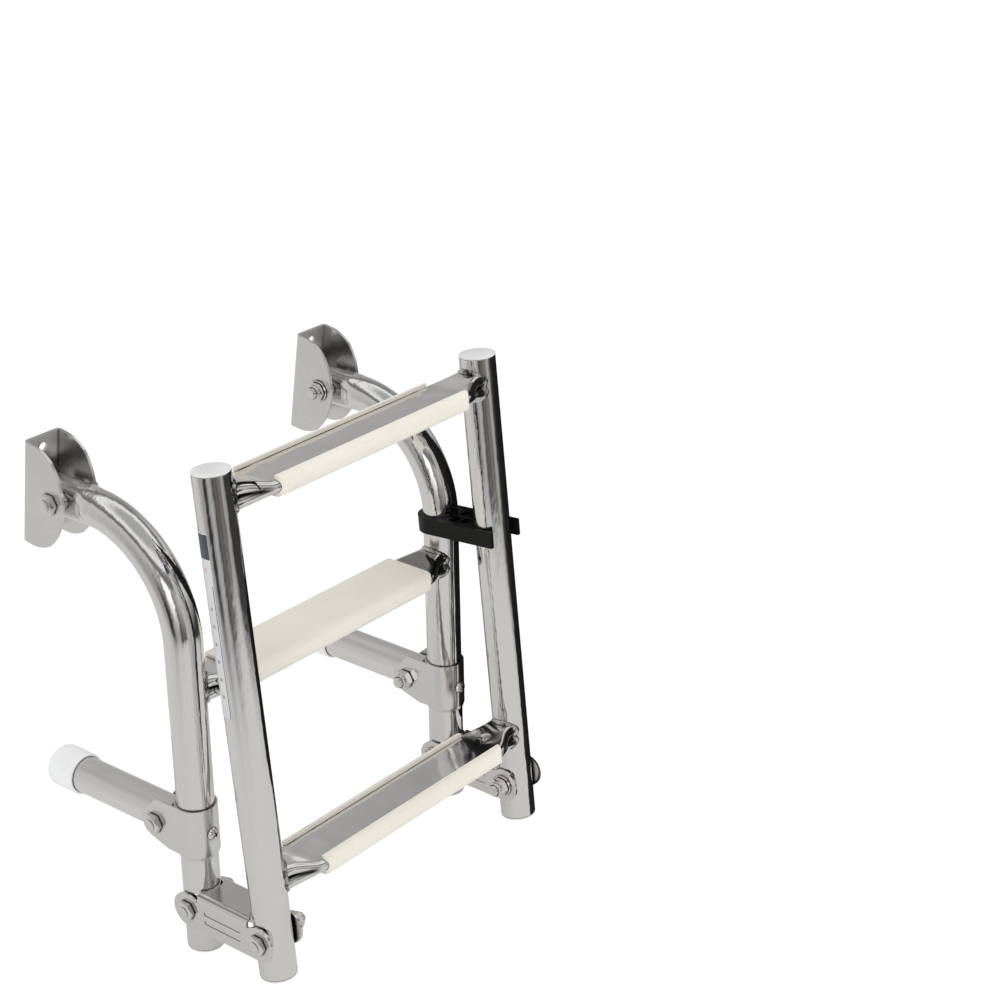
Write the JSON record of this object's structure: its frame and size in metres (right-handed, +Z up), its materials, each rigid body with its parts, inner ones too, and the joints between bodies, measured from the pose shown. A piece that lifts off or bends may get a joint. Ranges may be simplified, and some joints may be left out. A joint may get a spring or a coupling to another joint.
{
  "type": "folding boat boarding ladder",
  "caption": "Folding stainless boarding ladder on transom brackets, with tube steps under plastic treads, channel hinge links and adjustable standoffs, shown stowed.",
  "frame": {"origin": "centre of the four transom screw holes, on the plane where the brackets meet the transom", "axes": "+X across the ladder from the left to the right rail, +Y into the transom, +Z up"},
  "size_m": [0.2946, 0.2525, 0.3643],
  "materials": {
    "tube_steel": "polished stainless tube",
    "sheet_steel": "satin pressed stainless sheet",
    "bolt_steel": "stainless fasteners",
    "weld_steel": "weld bead",
    "tread_plastic": "cream, fine grain",
    "cap_rubber": "white, semi-matt",
    "plug_plastic": "white, semi-gloss",
    "clip_plastic": "black, semi-matt",
    "label_film": null
  },
  "bodies": {
    "brackets": {"left_bracket": "sheet_steel", "right_bracket": "sheet_steel", "bracket_bolts": "bolt_steel", "bracket_nuts": "bolt_steel", "bracket_washers": "bolt_steel", "bracket_bushes": "bolt_steel"},
    "upper_section": {"left_upper_rail": "tube_steel", "right_upper_rail": "tube_steel", "top_step": "tube_steel", "top_tread": "tread_plastic", "top_step_welds": "weld_steel", "upper_rail_plugs": "plug_plastic", "clip_body": "clip_plastic", "clip_clasp": "clip_plastic"},
    "hinge_links": {"left_link": "sheet_steel", "right_link": "sheet_steel", "link_bolts": "bolt_steel", "link_nuts": "bolt_steel", "link_washers": "bolt_steel"},
    "lower_section": {"left_lower_rail": "tube_steel", "right_lower_rail": "tube_steel", "middle_step": "tube_steel", "middle_tread": "tread_plastic", "middle_step_welds": "weld_steel", "bottom_step": "tube_steel", "bottom_tread": "tread_plastic", "bottom_step_welds": "weld_steel", "foot_caps": "plug_plastic", "lower_rail_plugs": "plug_plastic", "rail_label": "label_film"},
    "left_clamp_body": {"left_clamp": "sheet_steel", "left_clamp_screw": "bolt_steel", "left_clamp_bolt": "bolt_steel", "left_clamp_nut": "bolt_steel"},
    "left_standoff": {"left_standoff_tube": "tube_steel", "left_standoff_cap": "cap_rubber"},
    "right_clamp_body": {"right_clamp": "sheet_steel", "right_clamp_screw": "bolt_steel", "right_clamp_bolt": "bolt_steel", "right_clamp_nut": "bolt_steel"},
    "right_standoff": {"right_standoff_tube": "tube_steel", "right_standoff_cap": "cap_rubber"}
  },
  "joints": [
    {"name": "ladder_swing", "type": "hinge", "parent": "brackets", "child": "upper_section", "pos_m": [0, -0.026, 0.0015], "axis": [-1, 0, 0], "range_deg": [-7, 95]},
    {"name": "link_fold", "type": "hinge", "parent": "upper_section", "child": "hinge_links", "pos_m": [0, -0.16799, -0.24938], "axis": [1, 0, 0], "range_deg": [0, 90]},
    {"name": "lower_fold", "type": "hinge", "parent": "hinge_links", "child": "lower_section", "pos_m": [0, -0.23318, -0.23905], "axis": [1, 0, 0], "range_deg": [0, 95.2]},
    {"name": "left_clamp_slide", "type": "slide", "parent": "upper_section", "child": "left_clamp_body", "axis": [0, 0.1564, 0.9877], "range_m": [-0.02, 0.06]},
    {"name": "left_standoff_tilt", "type": "hinge", "parent": "left_clamp_body", "child": "left_standoff", "pos_m": [-0.127, -0.13324, -0.19616], "axis": [1, 0, 0], "range_deg": [-20, 20]},
    {"name": "right_clamp_slide", "type": "slide", "parent": "upper_section", "child": "right_clamp_body", "axis": [0, 0.1564, 0.9877], "range_m": [-0.02, 0.06]},
    {"name": "right_standoff_tilt", "type": "hinge", "parent": "right_clamp_body", "child": "right_standoff", "pos_m": [0.127, -0.13324, -0.19616], "axis": [1, 0, 0], "range_deg": [-20, 20]}
  ]
}
